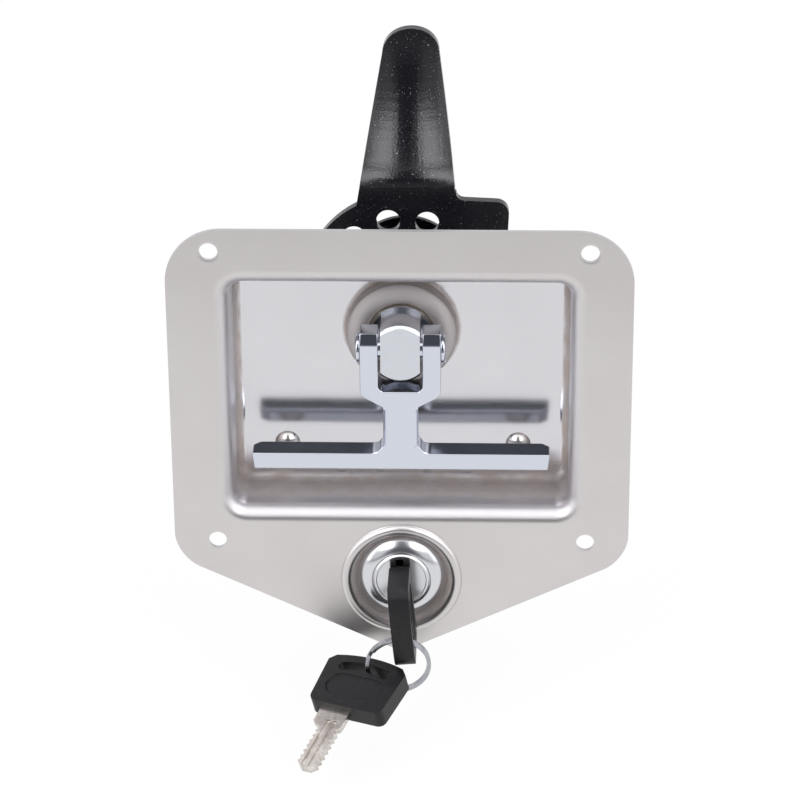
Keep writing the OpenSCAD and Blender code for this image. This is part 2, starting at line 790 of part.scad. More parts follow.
// Plug with its keyway.
module lock_plug() {
    way_t = blade_t + 2 * keyway_clear;
    way_low = -key_z_off - blade_w / 2 - keyway_clear;
    way_top = plug_r - 1.7;
    color([0.85, 0.86, 0.87]) on_lock() difference() {
        rotate_extrude() polygon([[0, body_back - 0.2], [plug_r, body_back - 0.2],
            [plug_r, plug_face - 0.5], [plug_r - 0.5, plug_face], [plug_r - 1.1, plug_face],
            [plug_r - 1.3, plug_face - 0.3], [0, plug_face - 0.3]]);
        leaning() translate([-way_t / 2, way_low, head_back - blade_l - 0.3])
            cube([way_t, way_top - way_low, blade_l + 5]);
        disc(2.5, body_back - 1, body_back + 3);
    }
}

// Crank on the back of the plug with its drive pin.
module lock_crank() {
    color([0.6, 0.6, 0.62]) on_lock() {
        difference() {
            disc(crank_r + crank_pin_d / 2 + 1.4, crank_back, body_back - 0.2);
            translate([0, 0, crank_back - eps]) cylinder(r1 = 4.6, r2 = 2.6, h = 2);
            disc(2.6, crank_back - 1, body_back + 1);
        }
        rotate([0, 0, 225]) translate([crank_r, 0, 0])
            disc(crank_pin_d / 2, bar_back - 0.3, crank_back + 1);
    }
}

// Flush screw that holds the crank on the plug.
module crank_screw() {
    color([0.7, 0.7, 0.71]) on_lock() {
        translate([0, 0, crank_back + 0.1]) cylinder(r1 = 4.25, r2 = 2.45, h = 1.85);
        disc(2.45, crank_back + 1.9, body_back + 2.9);
    }
}

// Key blade: x is width, y is length from the head, flat along z.
module blade_shape() {
    half = blade_w / 2;
    cut = 1.1;
    pitch = 2.6;
    difference() {
        translate([0, 0, -blade_t / 2]) linear_extrude(blade_t) difference() {
            polygon([[-half, stub], [half + shank_up, stub], [half + shank_up, -shank_l],
                     [half, -shank_l - 1], [half, -blade_l + 2.6], [half - 3, -blade_l],
                     [3 - half, -blade_l], [-half, -blade_l + 2.6]]);
            for (i = [0 : 5]) translate([half, -shank_l - 2.6 - i * pitch]) rotate([0, 0, 45])
                square(cut * (1 + (i % 3) * 0.3), center = true);
            for (i = [0 : 6]) translate([-half, -6.2 - i * pitch]) rotate([0, 0, 45])
                square(cut * (1.5 - (i % 3) * 0.25), center = true);
        }
        for (side = [-1, 1]) translate([side * 1.4 - 0.5, -blade_l - 1, side * blade_t / 2 - 0.35])
            cube([1, blade_l - 3, 0.7]);
    }
}

// Key head with its curved slot and bare oval recess; y runs from the blade.
module head_shape() {
    half = head_w / 2;
    slot_in = 4.6;
    recess_r = 4.5;
    recess_x = 5.3;
    slot_y = head_l - slot_edge - slot_w / 2;
    difference() {
        translate([-blade_off, 0, -head_t / 2]) linear_extrude(head_t) difference() {
            intersection() {
                round_outline([[half - 1, 0], [half, head_l + 2], [-half, head_l + 2], [1 - half, 0]],
                              [2.5, 2.5, 2.5, 2.5]);
                translate([0, head_l - 44]) circle(44);
                translate([-half - 1, -1]) square([head_w + 2, head_l + 4]);
            }
            intersection() {
                translate([0, slot_y - slot_arc_r]) difference() {
                    circle(slot_arc_r + slot_w / 2);
                    circle(slot_arc_r - slot_w / 2);
                }
                translate([-half + slot_in, slot_y - 8]) square([head_w - 2 * slot_in, 16]);
            }
        }
        for (side = [-1, 1]) translate([-blade_off, head_l * 0.4, side * (head_t / 2 - 0.6)])
            linear_extrude(1.2, center = true) {
                for (x = [-1, 1]) translate([x * recess_x, 0]) circle(recess_r);
                square(2 * [recess_x, recess_r], center = true);
            }
        translate([-blade_w / 2 - 0.05, -1, -blade_t / 2 - 0.05])
            cube([blade_w + shank_up + 0.1, stub + 1.05, blade_t + 0.1]);
    }
}

// Places key parts in the plug: the blade points into the door.
module key_place() {
    on_lock() leaning() translate([0, -key_z_off, head_back]) rotate([90, 0, 90])
        children();
}

module key_blade() {
    color([0.7, 0.69, 0.66]) key_place() blade_shape();
}

module key_head() {
    color([0.07, 0.07, 0.075]) key_place() head_shape();
}

// Places the split ring as it hangs in the slot of the inserted key.
module ring_place() {
    hook_x = -blade_off - hook_drop;
    key_place() translate([hook_x, slot_mid_y(hook_drop) + 0.16, 0])
        rotate(ring_turn) translate([-ring_mid_r, 0, 0]) children();
}

// Split ring: two turns of flat wire side by side.
module key_ring() {
    groove = 0.22;
    color([0.72, 0.72, 0.71]) ring_place() rotate_extrude() translate([ring_mid_r, 0])
        polygon([[-wire_w / 2, -wire_t], [wire_w / 2, -wire_t], [wire_w / 2, -groove],
                 [wire_w / 2 - groove, 0], [wire_w / 2, groove], [wire_w / 2, wire_t],
                 [-wire_w / 2, wire_t], [-wire_w / 2, groove], [groove - wire_w / 2, 0],
                 [-wire_w / 2, -groove]]);
}

// Places the spare key on the ring, the wire passing through its slot.
module spare_place() {
    hook_x = -blade_off - spare_shift;
    ring_place() rotate([0, 0, spare_round]) translate([ring_mid_r, 0, 0])
        rotate(spare_turn) translate([-hook_x, 0.24 - slot_mid_y(spare_shift), 0]) children();
}

module spare_blade() {
    color([0.7, 0.69, 0.66]) spare_place() blade_shape();
}

module spare_head() {
    color([0.07, 0.07, 0.075]) spare_place() head_shape();
}

face_plate();
spindle_bushing();
spindle();
thrust_sleeve();
notched_ring();
spacer_sleeve();
drive_plate();
drive_pin();
cam_plate();
disc_springs();
end_washer();
spindle_nut();
t_handle();
hinge_pin();
guide_strap();
rivet_left();
rivet_right();
lock_bar();
lock_body();
lock_nut();
lock_plug();
lock_crank();
crank_screw();
key_blade();
key_head();
key_ring();
spare_blade();
spare_head();
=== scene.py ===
"""Looks of a trailer door latch: satin pan, chrome handle and lock, black cam, keys on a split ring.

Shapes are drawn in millimetres in the front view (x right, y up, z toward the viewer) and
turned into the part's frame when a piece is finished.
"""
import math

import bmesh
import bpy
from mathutils import Matrix, Vector


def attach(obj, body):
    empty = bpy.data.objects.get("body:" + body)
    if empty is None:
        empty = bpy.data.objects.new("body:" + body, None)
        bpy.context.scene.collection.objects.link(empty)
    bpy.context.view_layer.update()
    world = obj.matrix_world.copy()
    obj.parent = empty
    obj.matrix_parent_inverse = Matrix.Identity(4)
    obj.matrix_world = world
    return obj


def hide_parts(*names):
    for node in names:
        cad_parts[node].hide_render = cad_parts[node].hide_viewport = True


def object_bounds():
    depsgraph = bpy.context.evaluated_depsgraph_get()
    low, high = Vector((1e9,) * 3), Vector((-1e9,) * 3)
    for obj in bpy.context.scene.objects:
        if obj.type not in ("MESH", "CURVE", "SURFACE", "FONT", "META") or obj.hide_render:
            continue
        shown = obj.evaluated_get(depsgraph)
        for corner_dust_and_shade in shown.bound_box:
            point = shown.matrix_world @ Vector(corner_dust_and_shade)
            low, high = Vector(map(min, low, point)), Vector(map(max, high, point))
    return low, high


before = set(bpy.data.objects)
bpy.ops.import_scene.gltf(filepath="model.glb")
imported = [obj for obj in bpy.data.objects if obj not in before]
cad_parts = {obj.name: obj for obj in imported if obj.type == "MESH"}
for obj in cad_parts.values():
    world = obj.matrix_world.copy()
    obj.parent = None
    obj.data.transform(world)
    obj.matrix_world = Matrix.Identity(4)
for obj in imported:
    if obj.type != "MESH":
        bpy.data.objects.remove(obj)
cad_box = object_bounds()

MM = 0.001
FRONT = Matrix.Rotation(math.radians(90), 4, "X")

# Sizes shared with the solids, in millimetres
plate_w = 140.0
plate_top = 55.5
plate_point = 87.8
plate_slope = 25.6
sheet = 1.5
top_corner_r = 17.0
side_corner_r = 13.0
point_r = 8.0
hole_dx = 113.5
hole_dz = 97.0
hole_r = 2.8
pan_half = (51.5, 37.5)
pan_corner_r = 4.5
lip_r = 4.95
floor_r = 3.0
floor_front = -20.5
spindle_z = 14.0
boss_r = 16.8
boss_crown_r = 5.0
boss_crest = floor_front + 6.3
boss_hole_r = 10.5
lock_z = -61.6
bead_r = 17.1
bead_round = 1.8
bezel_r = 13.5
bezel_round = 8.0
body_r = 11.0
body_back = -25.0
dish_front = -1.1
plug_r = 8.9
plug_face = 2.8

# The cam's finger as on the solid, then its crown and its lean here as (height over crease, degrees)
finger_root = 34.2
finger_h = 82.7
finger_mid = 0.8
finger_turn_r = 60.0
upright_over = finger_h + 2.0 - finger_root
lean_r = 104.0
crown_r = 26.0
crown_start = 8.0
tip_drop = 2.5
lean_stops = ((0.0, 0.0), (5.0, 34.0), (16.0, 26.0), (48.5, 5.0))

# Place of the keys and the ring on the lock, as on the solids
key_lean = 5.0
key_drop = 4.35
head_back = plug_face + 0.7
head_l = 20.5
blade_off = 2.1
slot_arc_r = 26.0
slot_mid = head_l - 2.6 - 1.6
hook_drop = 5.29
head_w = 27.0
head_t = 6.4
slot_w = 3.2
slot_reach = 7.3
top_arc_r = 44.0
recess_r = 4.5
recess_reach = 5.3
recess_depth = 0.6
blade_t = 2.2
blade_half = 3.8
blade_l = 24.0
stub = 6.0
shank_l = 6.0
shank_up = 2.2
spare_round = 125.0
spare_shift = 0.82
spare_turn = (-100.9, 29.0, -19.0)
ring_turn = (-86.5, -15.4, 5.9)
ring_wire_w = 1.3
ring_wire_t = 0.85
ring_mid_r = 20.4 / 2 - ring_wire_w / 2


def shift(x=0.0, y=0.0, z=0.0):
    return Matrix.Translation((x, y, z))


def turned(a, b, c):
    """Turn about x, then y, then z, in degrees."""
    turn = Matrix.Identity(4)
    for angle, axis in ((a, "X"), (b, "Y"), (c, "Z")):
        turn = Matrix.Rotation(math.radians(angle), 4, axis) @ turn
    return turn


def slot_height(x):
    """Middle of the curved slot in a key head, at a distance from the head's middle."""
    return slot_mid - slot_arc_r + math.sqrt(slot_arc_r ** 2 - x ** 2)


ON_SPINDLE = shift(y=spindle_z)
ON_LOCK = shift(y=lock_z)
KEY_PLACE = ON_LOCK @ turned(0, 0, key_lean) @ shift(y=-key_drop, z=head_back) @ turned(90, 0, 90)
RING_PLACE = (KEY_PLACE @ shift(-blade_off - hook_drop, slot_height(hook_drop) + 0.16)
              @ turned(*ring_turn) @ shift(-ring_mid_r))
SPARE_PLACE = (RING_PLACE @ turned(0, 0, spare_round) @ shift(ring_mid_r) @ turned(*spare_turn)
               @ shift(blade_off + spare_shift, 0.24 - slot_height(spare_shift)))


# Mesh helpers

def loop(bm, radius, height, reach=(0.0, 0.0), centre=(0.0, 0.0), segments=96):
    """A ring of points: a circle, drawn apart to four round corners where reach is given."""
    place = shift(z=height) @ Matrix.Rotation(math.pi / segments, 4, "Z")
    verts = bmesh.ops.create_circle(bm, radius=radius, segments=segments, matrix=place)["verts"]
    for v in verts:
        v.co.x += math.copysign(reach[0], v.co.x) + centre[0]
        v.co.y += math.copysign(reach[1], v.co.y) + centre[1]
    return verts


def edges_of(verts):
    """The closed row of edges through a loop's points."""
    row = set(verts)
    return list({e for v in verts for e in v.link_edges if e.other_vert(v) in row})


def join(bm, a, b):
    """A band of faces between two loops with the same number of points."""
    for i in range(len(a)):
        k = (i + 1) % len(a)
        bm.faces.new((a[i], a[k], b[k], b[i]))


def skin(bm, profile, **place):
    """Joins one loop per (radius, height) of a profile and returns its first and last loop."""
    loops = [loop(bm, r, h, **place) for r, h in profile]
    for a, b in zip(loops, loops[1:]):
        join(bm, a, b)
    return loops[0], loops[-1]


def outline(bm, points, height):
    """A closed row of points joined by edges."""
    verts = [bm.verts.new((x, y, height)) for x, y in points]
    for a, b in zip(verts, verts[1:] + verts[:1]):
        bm.edges.new((a, b))
    return verts


def arc(centre, radius, start, end, steps):
    """Points on an arc, from one angle to another in degrees."""
    angles = [math.radians(start + (end - start) * i / steps) for i in range(steps + 1)]
    return [(centre[0] + radius * math.cos(a), centre[1] + radius * math.sin(a)) for a in angles]


def revolved(bm, profile, segments=96):
    """Turns a closed half profile of (radius, height) about the z axis."""
    verts = [bm.verts.new((r, 0.0, h)) for r, h in profile]
    edges = [bm.edges.new((a, b)) for a, b in zip(verts, verts[1:])]
    bmesh.ops.spin(bm, geom=verts + edges, axis=(0, 0, 1), cent=(0, 0, 0), angle=math.tau,
                   steps=segments, use_merge=True)
    bmesh.ops.remove_doubles(bm, verts=bm.verts, dist=0.001)
    bmesh.ops.recalc_face_normals(bm, faces=bm.faces)


def soften_edges(bm, width, segments=2, sharper_than=30.0, clamped=True):
    """Rounds every edge that turns by more than an angle."""
    limit = math.radians(sharper_than)
    sharp = [e for e in bm.edges if len(e.link_faces) == 2 and e.calc_face_angle() > limit]
    bmesh.ops.bevel(bm, geom=sharp, offset=width, segments=segments, profile=0.5, affect="EDGES",
                    clamp_overlap=clamped, material=-1)


def finish_piece(bm, name, body, finish, place=None, stands_for=(), sharp=40.0):
    """Puts a mesh drawn in the front view in the part's frame and makes it a piece."""
    if place is not None:
        bmesh.ops.transform(bm, matrix=Matrix.Scale(MM, 4) @ FRONT @ place, verts=bm.verts)
    limit = math.radians(sharp)
    for e in bm.edges:
        e.smooth = len(e.link_faces) == 2 and e.calc_face_angle() < limit
    for f in bm.faces:
        f.smooth = True
    mesh = bpy.data.meshes.new(name)
    bm.to_mesh(mesh)
    bm.free()
    mesh.materials.append(finish)
    piece = bpy.data.objects.new(name, mesh)
    bpy.context.scene.collection.objects.link(piece)
    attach(piece, body)
    if stands_for:
        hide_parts(*stands_for)
    even = piece.modifiers.new("even_shading", "WEIGHTED_NORMAL")
    even.keep_sharp = True
    return piece


def solid_copy(node):
    """A copy of a solid's mesh in millimetres, with its flat faces whole."""
    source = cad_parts[node].data.copy()
    normals = source.attributes.get("custom_normal")
    if normals:
        source.attributes.remove(normals)
    bm = bmesh.new()
    bm.from_mesh(source)
    bpy.data.meshes.remove(source)
    bmesh.ops.scale(bm, vec=(1 / MM, 1 / MM, 1 / MM), verts=bm.verts)
    bmesh.ops.remove_doubles(bm, verts=bm.verts, dist=0.002)
    flat_within = math.radians(0.6)
    bmesh.ops.dissolve_limit(bm, angle_limit=flat_within, verts=bm.verts, edges=bm.edges)
    return bm


def rounded_copy(node, name, body, finish, width, sharp=40.0, round_over=30.0, clamped=True):
    """A copy of a solid with its edges rounded, which stands for that solid."""
    bm = solid_copy(node)
    soften_edges(bm, width, 3, round_over, clamped)
    bmesh.ops.scale(bm, vec=(MM, MM, MM), verts=bm.verts)
    return finish_piece(bm, name, body, finish, stands_for=(node,), sharp=sharp)


# Finishes

def add(tree, kind, inputs=None, **settings):
    """Adds a node: settings are its own values, inputs are numbers, colours or sockets to link."""
    made = tree.nodes.new(kind)
    for key, value in settings.items():
        setattr(made, key, value)
    for key, value in (inputs or {}).items():
        if isinstance(value, bpy.types.NodeSocket):
            tree.links.new(value, made.inputs[key])
        else:
            made.inputs[key].default_value = value
    return made


def new_finish(name, **values):
    """A material with the shader's plain values set, and its tree, shader and object coordinates."""
    material = bpy.data.materials.new(name)
    material.use_nodes = True
    tree = material.node_tree
    shader = next(n for n in tree.nodes if n.type == "BSDF_PRINCIPLED")
    for key, value in values.items():
        shader.inputs[key.replace("_", " ").title().replace("Ior", "IOR")].default_value = value
    coords = add(tree, "ShaderNodeTexCoord").outputs["Object"]
    return material, tree, shader, coords


def noise(tree, coords, size, detail=3.0, stretch=(1.0, 1.0, 1.0), rough=0.5):
    """Noise with features of a size in millimetres, drawn out by stretch."""
    scale = tuple(1.0 / (size * MM * s) for s in stretch)
    drawn = add(tree, "ShaderNodeMapping", {"Vector": coords, "Scale": scale}).outputs["Vector"]
    return add(tree, "ShaderNodeTexNoise", {"Vector": drawn, "Scale": 1.0, "Detail": detail,
                                            "Roughness": rough}).outputs["Fac"]


def ramp(tree, factor, *stops):
    """Maps a number to colours or greys given as (place, colour) stops."""
    made = add(tree, "ShaderNodeValToRGB", {"Fac": factor})
    while len(made.color_ramp.elements) < len(stops):
        made.color_ramp.elements.new(0.5)
    for element, (place, colour) in zip(made.color_ramp.elements, stops):
        element.position = place
        element.color = (colour, colour, colour, 1.0) if isinstance(colour, float) else (*colour, 1.0)
    return made.outputs["Color"]


def spread(tree, value, low, high, to_low, to_high):
    """Maps a range of numbers smoothly to another."""
    return add(tree, "ShaderNodeMapRange", {"Value": value, "From Min": low, "From Max": high,
                                            "To Min": to_low, "To Max": to_high},
               interpolation_type="SMOOTHSTEP").outputs["Result"]


def math_node(tree, operation, a, b=0.0):
    made = add(tree, "ShaderNodeMath", operation=operation)
    for socket, value in zip(made.inputs, (a, b)):
        if isinstance(value, bpy.types.NodeSocket):
            tree.links.new(value, socket)
        else:
            socket.default_value = value
    return made.outputs["Value"]


def mix(tree, factor, a, b):
    """Mixes two colours."""
    made = add(tree, "ShaderNodeMix", data_type="RGBA")
    values = ((made.inputs["Factor"], factor), (made.inputs[6], a), (made.inputs[7], b))
    for socket, value in values:
        if isinstance(value, bpy.types.NodeSocket):
            tree.links.new(value, socket)
        else:
            socket.default_value = (*value, 1.0) if isinstance(value, tuple) else value
    return made.outputs[2]


def bump(tree, shader, height, depth):
    """Adds relief, with its depth in millimetres."""
    normal = add(tree, "ShaderNodeBump", {"Height": height, "Strength": 1.0, "Distance": depth * MM})
    tree.links.new(normal.outputs["Normal"], shader.inputs["Normal"])


def link(tree, socket, shader, name):
    tree.links.new(socket, shader.inputs[name])


def axes(tree, coords):
    """The three numbers of a place or direction, by name."""
    return add(tree, "ShaderNodeSeparateXYZ", {"Vector": coords}).outputs


def window(tree, value, rise, full, fade, end):
    """One between two soft edges and nothing outside them."""
    return math_node(tree, "MULTIPLY", spread(tree, value, rise, full, 0.0, 1.0),
                     spread(tree, value, fade, end, 1.0, 0.0))


def ring_mask(tree, coords, centre_z, inner, outer, soft):
    """One inside a band of radii, in millimetres, round an axis that runs front to back."""
    parts = axes(tree, coords)
    up = math_node(tree, "SUBTRACT", parts["Z"], centre_z * MM)
    square = math_node(tree, "ADD", math_node(tree, "MULTIPLY", parts["X"], parts["X"]),
                       math_node(tree, "MULTIPLY", up, up))
    radius = math_node(tree, "SQRT", square)
    return window(tree, radius, (inner - soft) * MM, (inner + soft) * MM,
                  (outer - soft) * MM, (outer + soft) * MM)


def satin_plate_finish():
    """Rolled stainless sheet: fine grain across, lips painted lighter as a highlight, brown dust with
    painted shade in the corners.
    """
    material, tree, shader, coords = new_finish("satin_stainless")
    parts = axes(tree, coords)
    grain = noise(tree, coords, 0.09, 2.0, (60.0, 1.0, 1.0))
    cloud = noise(tree, coords, 26.0, 3.0)
    lip = spread(tree, parts["Y"], -sheet * MM, (0.9 - sheet) * MM, 0.0, 1.0)
    deep = spread(tree, parts["Y"], (-floor_front - 5.0) * MM, (-floor_front - 2.0) * MM, 0.0, 1.0)
    flange = mix(tree, cloud, (0.61, 0.58, 0.575), (0.67, 0.65, 0.645))
    # Painted highlight: the lips are coloured lighter than the open flange.
    painted_lip_highlight = mix(tree, lip, flange, (0.66, 0.64, 0.655))
    inside = mix(tree, cloud, (0.62, 0.615, 0.64), (0.69, 0.685, 0.71))
    boss = math_node(tree, "MULTIPLY", ring_mask(tree, coords, spindle_z, -1.0, 17.6, 0.4),
                     spread(tree, parts["Y"], 0.010, 0.013, 0.0, 1.0))
    clean = mix(tree, boss, mix(tree, deep, painted_lip_highlight, inside), (0.55, 0.525, 0.52))
    # Painted shade: brown laid on heavier in the pan's floor corners, where shade falls.
    past_flat = []
    for axis, half in zip("XZ", pan_half):
        off_middle = math_node(tree, "ABSOLUTE", parts[axis])
        past_flat.append(math_node(tree, "SUBTRACT", off_middle, (half - floor_r) * MM))
    edge = spread(tree, math_node(tree, "MAXIMUM", *past_flat), 0.6 * MM, 1.5 * MM, 0.0, 0.85)
    corner_dust_and_shade = math_node(tree, "MULTIPLY", edge, deep)
    # Painted shade: more brown, so darker, towards the bottom of the pan.
    low = spread(tree, parts["Z"], -0.028, -0.0365, 0.0, 0.7)
    pan_bottom_dust_and_shade = math_node(tree, "MULTIPLY", spread(tree, parts["Y"], 0.003, 0.012, 0.0, 1.0), low)
    blotch = ramp(tree, noise(tree, coords, 6.0, 3.0), (0.35, 0.0), (0.65, 1.0))
    dish = math_node(tree, "MULTIPLY", ring_mask(tree, coords, lock_z, 13.2, 15.6, 0.5), 0.75)
    boss_foot = math_node(tree, "MULTIPLY", ring_mask(tree, coords, spindle_z, 16.7, 18.0, 0.6), 0.7)
    rims = math_node(tree, "MAXIMUM", dish, boss_foot)
    # Brown dust and painted shade in one mask: real dust in the dish and boss-foot rings, made heavier
    # in the floor corners and low in the pan to darken them.
    dust_and_shade_places = math_node(tree, "MAXIMUM", math_node(tree, "MAXIMUM", rims, pan_bottom_dust_and_shade), corner_dust_and_shade)
    dust_and_shade = math_node(tree, "MULTIPLY", dust_and_shade_places, spread(tree, blotch, 0.0, 1.0, 0.55, 1.0))
    link(tree, mix(tree, dust_and_shade, clean, (0.38, 0.315, 0.275)), shader, "Base Color")
    link(tree, spread(tree, dust_and_shade, 0.0, 1.0, 1.0, 0.1), shader, "Metallic")
    smooth = spread(tree, grain, 0.25, 0.75, 0.0, 0.05)
    open_rough = spread(tree, lip, 0.0, 1.0, 0.28, 0.44)
    base_rough = math_node(tree, "SUBTRACT", open_rough, math_node(tree, "MULTIPLY", deep, 0.31))
    rough = math_node(tree, "ADD", math_node(tree, "ADD", base_rough, smooth),
                      math_node(tree, "MULTIPLY", boss, 0.2))
    dusty = math_node(tree, "ADD", rough, math_node(tree, "MULTIPLY", dust_and_shade, 0.35))
    link(tree, dusty, shader, "Roughness")
    wave = noise(tree, coords, 30.0, 1.0)
    relief = math_node(tree, "ADD", math_node(tree, "MULTIPLY", wave, 1.0),
                       math_node(tree, "MULTIPLY", grain, 0.003))
    bump(tree, shader, relief, 0.10)
    return material


def chrome_finish(name, colour, rough):
    """Bright plating with faint smears and a few dull specks."""
    material, tree, shader, coords = new_finish(name, metallic=1.0)
    smear = noise(tree, coords, 7.0, 4.0, rough=0.6)
    speck = ramp(tree, noise(tree, coords, 0.35, 2.0), (0.68, 0.0), (0.74, 1.0))
    dull = tuple(c * 0.72 for c in colour)
    link(tree, mix(tree, math_node(tree, "MULTIPLY", speck, 0.35), colour, dull), shader, "Base Color")
    link(tree, spread(tree, smear, 0.3, 0.75, rough, rough + 0.05), shader, "Roughness")
    bump(tree, shader, noise(tree, coords, 9.0, 1.0), 0.012)
    return material


def black_coat_finish():
    """Glossy black powder coat with orange peel and pale dust specks."""
    material, tree, shader, coords = new_finish("black_coat", specular_ior_level=0.46)
    speck = ramp(tree, noise(tree, coords, 0.5, 2.0), (0.69, 0.0), (0.72, 1.0))
    link(tree, mix(tree, math_node(tree, "MULTIPLY", speck, 0.7), (0.005, 0.005, 0.007),
                   (0.34, 0.34, 0.35)), shader, "Base Color")
    peel = noise(tree, coords, 0.7, 2.0)
    link(tree, spread(tree, peel, 0.3, 0.7, 0.14, 0.21), shader, "Roughness")
    bump(tree, shader, peel, 0.045)
    return material


def black_plastic_finish():
    """Moulded black plastic with a fine satin grain and faint scuffs."""
    material, tree, shader, coords = new_finish("black_plastic", specular_ior_level=0.28)
    scuff = ramp(tree, noise(tree, coords, 2.2, 6.0, rough=0.7), (0.55, 0.0), (0.80, 1.0))
    link(tree, mix(tree, scuff, (0.007, 0.007, 0.008), (0.026, 0.026, 0.029)), shader, "Base Color")
    grain = noise(tree, coords, 0.16, 2.0)
    link(tree, spread(tree, grain, 0.3, 0.7, 0.32, 0.46), shader, "Roughness")
    bump(tree, shader, grain, 0.012)
    return material


def plain_metal_finish(name, light, dark, rough, grain_size=0.12):
    """Plated or bare metal with turning marks, clouds of dull plating and a little dirt."""
    material, tree, shader, coords = new_finish(name, metallic=1.0)
    cloud = noise(tree, coords, 4.0, 5.0, rough=0.65)
    link(tree, mix(tree, ramp(tree, cloud, (0.35, 0.0), (0.7, 1.0)), light, dark), shader, "Base Color")
    grain = noise(tree, coords, grain_size, 2.0)
    link(tree, spread(tree, grain, 0.25, 0.75, rough, rough + 0.16), shader, "Roughness")
    bump(tree, shader, grain, 0.006)
    return material


stainless = satin_plate_finish()
bright_chrome = chrome_finish("bright_chrome", (0.62, 0.65, 0.72), 0.035)
lock_chrome = chrome_finish("lock_chrome", (0.66, 0.665, 0.69), 0.16)
rivet_steel = chrome_finish("rivet_steel", (0.60, 0.58, 0.56), 0.20)
black_coat = black_coat_finish()
black_plastic = black_plastic_finish()
worn_chrome = chrome_finish("worn_chrome", (0.63, 0.645, 0.69), 0.16)
nickel = plain_metal_finish("worn_nickel", (0.72, 0.69, 0.655), (0.45, 0.41, 0.37), 0.13)
ring_steel = plain_metal_finish("ring_steel", (0.46, 0.47, 0.50), (0.30, 0.31, 0.33), 0.16)
zinc = plain_metal_finish("zinc_plate", (0.62, 0.63, 0.65), (0.46, 0.47, 0.48), 0.26)
dark_steel = plain_metal_finish("spring_steel", (0.30, 0.30, 0.32), (0.20, 0.20, 0.21), 0.30)
bronze = plain_metal_finish("bush_bronze", (0.58, 0.53, 0.46), (0.42, 0.38, 0.33), 0.30)


# Face plate

def flange_outline(bm):
    """The outer edge of the flange, with its own round at each corner."""
    half = plate_w / 2
    side = -plate_point + half * math.tan(math.radians(plate_slope))
    corners = [(half, plate_top, top_corner_r), (-half, plate_top, top_corner_r),
               (-half, side, side_corner_r), (0.0, -plate_point, point_r), (half, side, side_corner_r)]
    verts = [bm.verts.new((x, y, sheet)) for x, y, _ in corners]
    edges = [bm.edges.new((a, b)) for a, b in zip(verts, verts[1:] + verts[:1])]
    for v, (_, _, radius) in zip(verts, corners):
        a, b = (e.other_vert(v).co - v.co for e in v.link_edges)
        cut = radius / math.tan(a.angle(b) / 2)
        bmesh.ops.bevel(bm, geom=[v], offset=cut, segments=14, profile=0.5, affect="VERTICES",
                        material=-1)
    return list(bm.edges)


def face_plate():
    bm = bmesh.new()
    flange_edge = flange_outline(bm)
    reach = tuple(h - pan_corner_r for h in pan_half)
    pan_profile = (arc((pan_corner_r + lip_r, sheet - lip_r), lip_r, 90, 180, 16)
                   + arc((pan_corner_r - floor_r, floor_front + floor_r), floor_r, 0, -90, 10))
    lip_edge, floor_edge = skin(bm, pan_profile, reach=reach)
    crown = (boss_r - boss_crown_r * 0.72, boss_crest - boss_crown_r)
    flank = math.degrees(math.acos((boss_r - crown[0]) / boss_crown_r))
    inner = 180 - math.degrees(math.acos((crown[0] - boss_hole_r) / boss_crown_r))
    foot_r = 1.2
    boss_profile = (arc((boss_r + foot_r, floor_front + foot_r), foot_r, -90, -180, 6)
                    + arc(crown, boss_crown_r, flank, inner, 20))
    boss_edge, _ = skin(bm, boss_profile, centre=(0, spindle_z))
    join(bm, floor_edge, boss_edge)
    bead_h = sheet - 0.2
    foot = 0.35
    dish_profile = ([(bead_r + bead_round, sheet)]
                    + arc((bead_r + bead_round - 0.02, sheet + foot), foot, -100, -160, 3)
                    + arc((bead_r, bead_h), bead_round, 22, 150, 14)
                    + [(bezel_r + 1.0, dish_front + 0.6), (bezel_r + 0.5, dish_front + 0.15),
                       (bezel_r + 0.1, dish_front), (body_r + 0.2, dish_front)])
    dish_edge, _ = skin(bm, dish_profile, centre=(0, lock_z))
    hole_border = 0.8
    hole_profile = [(hole_r, sheet), (hole_r + hole_border, sheet)]
    rims = [lip_edge, dish_edge]
    for x in (-hole_dx / 2, hole_dx / 2):
        for y in (-hole_dz / 2, hole_dz / 2):
            rims.append(skin(bm, hole_profile, centre=(x, y), segments=40)[1])
    rim_edges = [e for rim in rims for e in edges_of(rim)]
    bmesh.ops.triangle_fill(bm, edges=flange_edge + rim_edges, use_beauty=True)
    bmesh.ops.remove_doubles(bm, verts=bm.verts, dist=0.001)
    bmesh.ops.recalc_face_normals(bm, faces=bm.faces)
    flat = max(bm.faces, key=lambda f: f.calc_area())
    if flat.normal.z < 0:
        bmesh.ops.reverse_faces(bm, faces=bm.faces)
    bmesh.ops.solidify(bm, geom=bm.faces[:], thickness=sheet)
    soften_edges(bm, 0.3, 3, 60.0)
    return finish_piece(bm, "stamped_face_plate", "plate", stainless, Matrix.Identity(4),
                        ["face_plate"], sharp=50.0)


# Lock front

